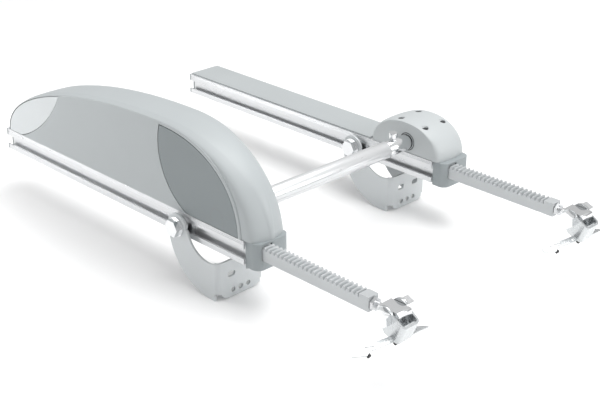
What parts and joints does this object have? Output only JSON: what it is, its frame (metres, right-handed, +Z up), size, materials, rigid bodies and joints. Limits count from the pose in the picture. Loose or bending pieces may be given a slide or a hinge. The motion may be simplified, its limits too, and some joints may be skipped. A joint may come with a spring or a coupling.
{
  "type": "tandem rack-and-pinion window opener",
  "caption": "Motor unit and follower unit on slotted rails, joined by one shaft, pushing two toothed racks with pivoting feet; each rail swings on a clamped bracket.",
  "frame": {"origin": "middle of the three screw holes in the front face of the motor unit bracket flange, which is the face that meets the window frame", "axes": "+X is the way the racks push; +Y runs along the joining shaft from the motor unit to the follower unit; +Z is up, from the bracket flange to the rail"},
  "size_m": [0.7095, 0.434, 0.1965],
  "materials": {
    "rail": "bright satin anodised extrusion",
    "cap": "moulded, fine matt grain",
    "nose": "moulded, fine matt grain",
    "guide": "natural acetal",
    "rack": "zinc plated, milled teeth",
    "gear": "hobbed steel, lightly oiled",
    "steel": "turned, zinc plated",
    "bronze": "oil-filled sintered bronze",
    "plate": "zinc plated sheet",
    "casting": "die-cast case, painted dark grey",
    "motor": "grey lacquered motor can",
    "capacitor": "off-white case",
    "board": "green solder mask",
    "terminal": "green moulded terminals",
    "switch": "black moulded case",
    "hood": "moulded grey cover, satin",
    "shaft_panel": "darker grey moulding, satin",
    "wiring_panel": "light grey moulding, satin",
    "rubber": "black rubber",
    "tube": "satin drawn tube",
    "chrome": "bright plated steel",
    "strip": "light grey cover strip",
    "dome": "moulded grey cover, satin",
    "dark_screw": "blackened recessed screws",
    "bracket": "pressed steel, light grey coat",
    "foot": "pressed steel, zinc plated"
  },
  "bodies": {
    "drive_bracket": {"drive_bracket": "bracket"},
    "drive_pivot": {"drive_bracket_bolts": "chrome", "drive_tee_nuts": "steel"},
    "opener": {"drive_rail": "rail", "drive_end_cap": "cap", "drive_nose": "nose", "drive_rack_guide": "guide", "drive_bearings": "bronze", "near_gear_plate": "plate", "far_gear_plate": "plate", "plate_spacers": "steel", "idler_axle": "steel", "gearhead": "casting", "motor_can": "motor", "run_capacitor": "capacitor", "control_board": "board", "terminal_block": "terminal", "limit_switches": "switch", "hood": "hood", "near_shaft_panel": "shaft_panel", "far_shaft_panel": "shaft_panel", "near_wiring_panel": "wiring_panel", "far_wiring_panel": "wiring_panel", "cable_grommet": "rubber", "follower_rail": "rail", "follower_end_cap": "cap", "follower_nose": "nose", "follower_rack_guide": "guide", "follower_bearings": "bronze", "follower_bearing_plates": "plate", "follower_top_strip": "strip", "follower_dome": "dome", "dome_screws": "dark_screw"},
    "cross_shaft": {"drive_pinion": "gear", "drive_shaft": "steel", "connecting_tube": "tube", "tube_pin": "steel", "coupling_barrel": "chrome", "coupling_screw": "chrome", "follower_shaft": "steel", "follower_pinion": "gear"},
    "idler": {"idler_gear": "gear"},
    "motor_output": {"motor_pinion": "gear"},
    "drive_push_rack": {"drive_rack": "rack", "drive_eye_strap": "chrome", "drive_lock_nut": "steel"},
    "drive_push_foot": {"drive_foot": "foot", "drive_foot_bolt": "chrome", "drive_foot_nut": "chrome", "drive_foot_pads": "rubber"},
    "follower_push_rack": {"follower_rack": "rack", "follower_eye_strap": "chrome", "follower_lock_nut": "steel"},
    "follower_push_foot": {"follower_foot": "foot", "follower_foot_bolt": "chrome", "follower_foot_nut": "chrome", "follower_foot_pads": "rubber"},
    "follower_pivot": {"follower_bracket_bolts": "chrome", "follower_tee_nuts": "steel"},
    "follower_bracket": {"follower_bracket": "bracket"}
  },
  "joints": [
    {"name": "drive_swing", "type": "hinge", "parent": "drive_bracket", "child": "drive_pivot", "pos_m": [-0.07, 0, 0.0645], "axis": [0, 1, 0], "range_deg": [-85, 8]},
    {"name": "drive_bracket_slide", "type": "slide", "parent": "drive_pivot", "child": "opener", "axis": [1, 0, 0], "range_m": [-0.025, 0.25]},
    {"name": "rack_slide", "type": "slide", "parent": "opener", "child": "drive_push_rack", "axis": [1, 0, 0], "range_m": [-0.15, 0.195]},
    {"name": "follower_rack_slide", "type": "slide", "parent": "opener", "child": "follower_push_rack", "axis": [1, 0, 0], "range_m": [-0.15, 0.195]},
    {"name": "shaft_spin", "type": "hinge", "parent": "opener", "child": "cross_shaft", "pos_m": [-0.006, 0, 0.09545], "axis": [0, 1, 0], "range_deg": [-560, 431]},
    {"name": "idler_spin", "type": "hinge", "parent": "opener", "child": "idler", "pos_m": [-0.05801, 0, 0.12548], "axis": [0, 1, 0], "range_deg": [-216, 281]},
    {"name": "motor_pinion_spin", "type": "hinge", "parent": "opener", "child": "motor_output", "pos_m": [-0.11517, 0, 0.13556], "axis": [0, 1, 0], "range_deg": [-622, 479]},
    {"name": "drive_foot_tilt", "type": "hinge", "parent": "drive_push_rack", "child": "drive_push_foot", "pos_m": [0.2415, -0.01015, 0.06878], "axis": [0, 1, 0], "range_deg": [-60, 60]},
    {"name": "follower_foot_tilt", "type": "hinge", "parent": "follower_push_rack", "child": "follower_push_foot", "pos_m": [0.2415, 0.31085, 0.06878], "axis": [0, 1, 0], "range_deg": [-60, 60]},
    {"name": "follower_bracket_slide", "type": "slide", "parent": "opener", "child": "follower_pivot", "axis": [1, 0, 0], "range_m": [-0.25, 0.025]},
    {"name": "follower_swing", "type": "hinge", "parent": "follower_pivot", "child": "follower_bracket", "pos_m": [-0.094, 0.321, 0.0645], "axis": [0, 1, 0], "range_deg": [-8, 85]}
  ],
  "couplings": [
    {"joint": "follower_rack_slide", "follows": "rack_slide", "ratio": 1},
    {"joint": "shaft_spin", "follows": "rack_slide", "rad_per_m": -50},
    {"joint": "idler_spin", "follows": "rack_slide", "rad_per_m": 25},
    {"joint": "motor_pinion_spin", "follows": "rack_slide", "rad_per_m": -55.556},
    {"joint": "follower_bracket_slide", "follows": "drive_bracket_slide", "ratio": -1},
    {"joint": "follower_swing", "follows": "drive_swing", "ratio": -1}
  ]
}
